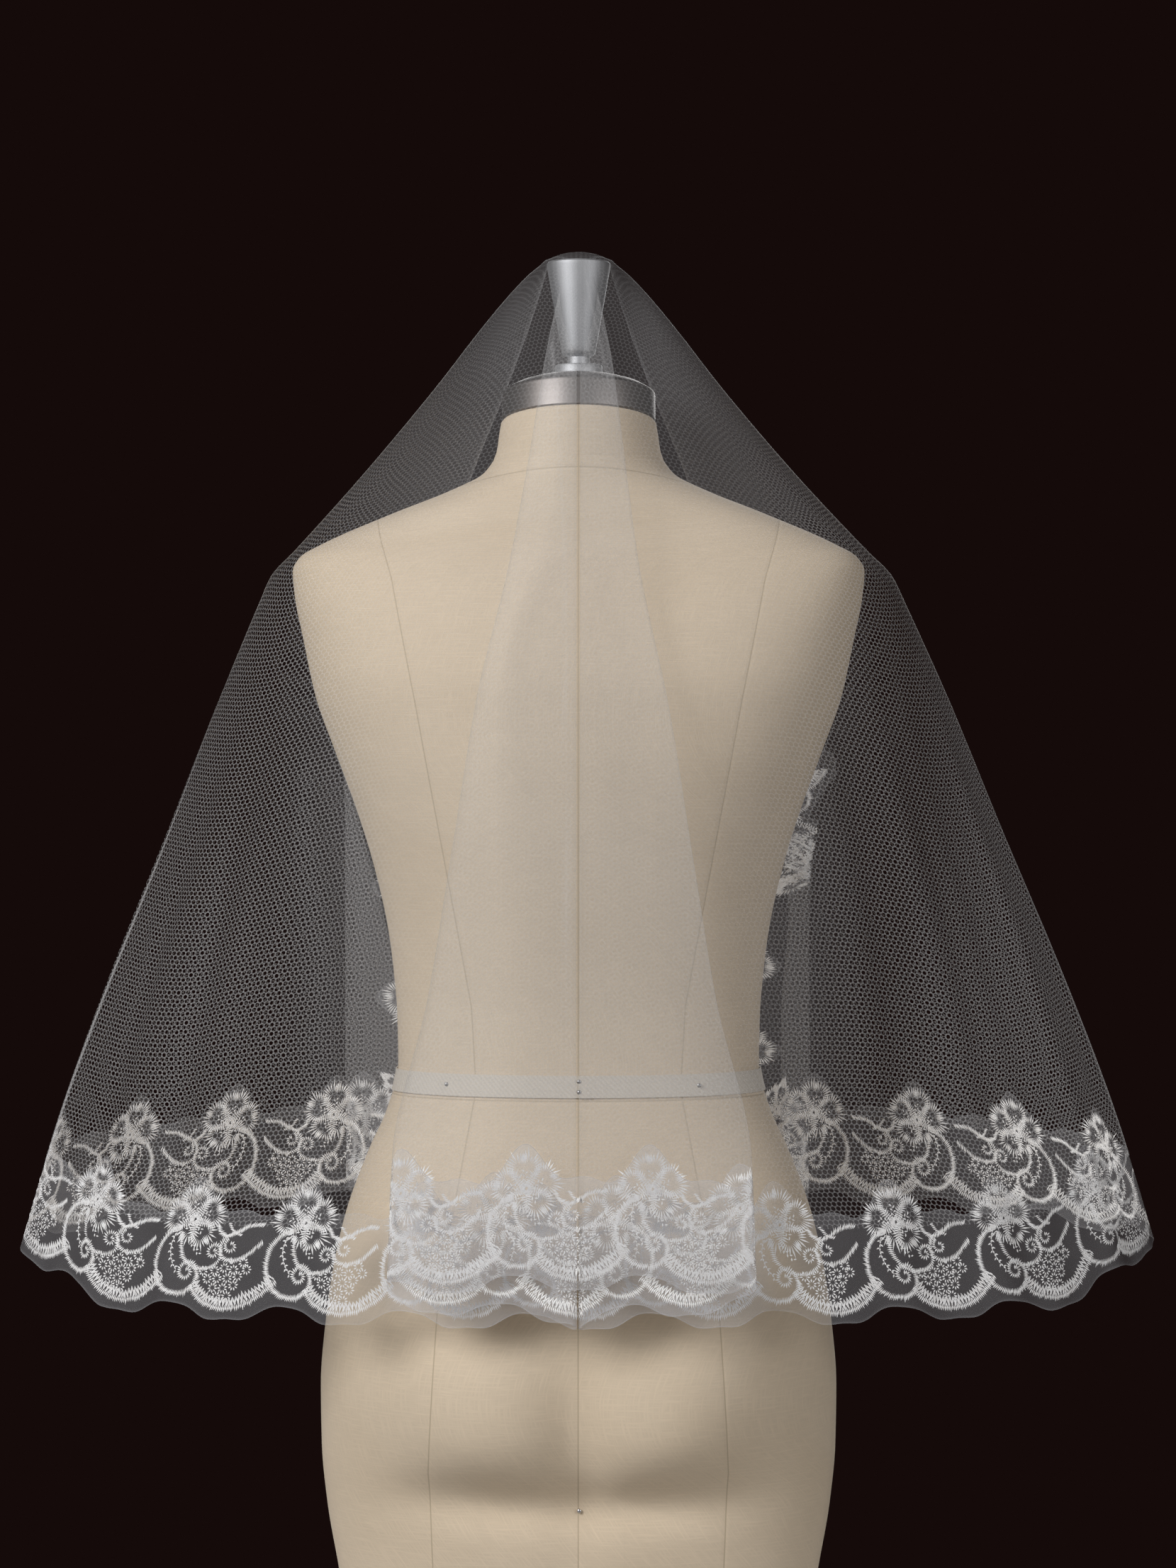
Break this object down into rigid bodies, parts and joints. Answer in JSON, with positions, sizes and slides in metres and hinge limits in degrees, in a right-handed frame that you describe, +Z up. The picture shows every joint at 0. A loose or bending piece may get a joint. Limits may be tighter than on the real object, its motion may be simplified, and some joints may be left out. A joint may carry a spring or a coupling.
{
  "type": "bridal veil on a dress form",
  "caption": "Hip-length net bridal veil with a scalloped lace border, laid over the post of a limbless dress form with a plain pole and round base.",
  "frame": {"origin": "centre of the underside of the stand's round base", "axes": "+Z up; +Y from the dress form's back to its front; +X to the dress form's right-hand side as seen from behind"},
  "size_m": [0.7575, 0.36, 1.1028],
  "materials": {
    "white_net": "sheer",
    "white_lace": "satin",
    "cream_linen": "matte",
    "white_tape": "matte",
    "brushed_steel": "brushed",
    "painted_iron": "satin"
  },
  "bodies": {
    "root": {"net_back": "white_net", "net_front_left": "white_net", "net_front_right": "white_net", "lace_back": "white_lace", "lace_front_left": "white_lace", "lace_front_right": "white_lace", "torso": "cream_linen", "waist_tape": "white_tape", "neck_cap": "brushed_steel", "hanging_post": "brushed_steel", "stand_pole": "brushed_steel", "stand_base": "painted_iron"}
  },
  "joints": []
}
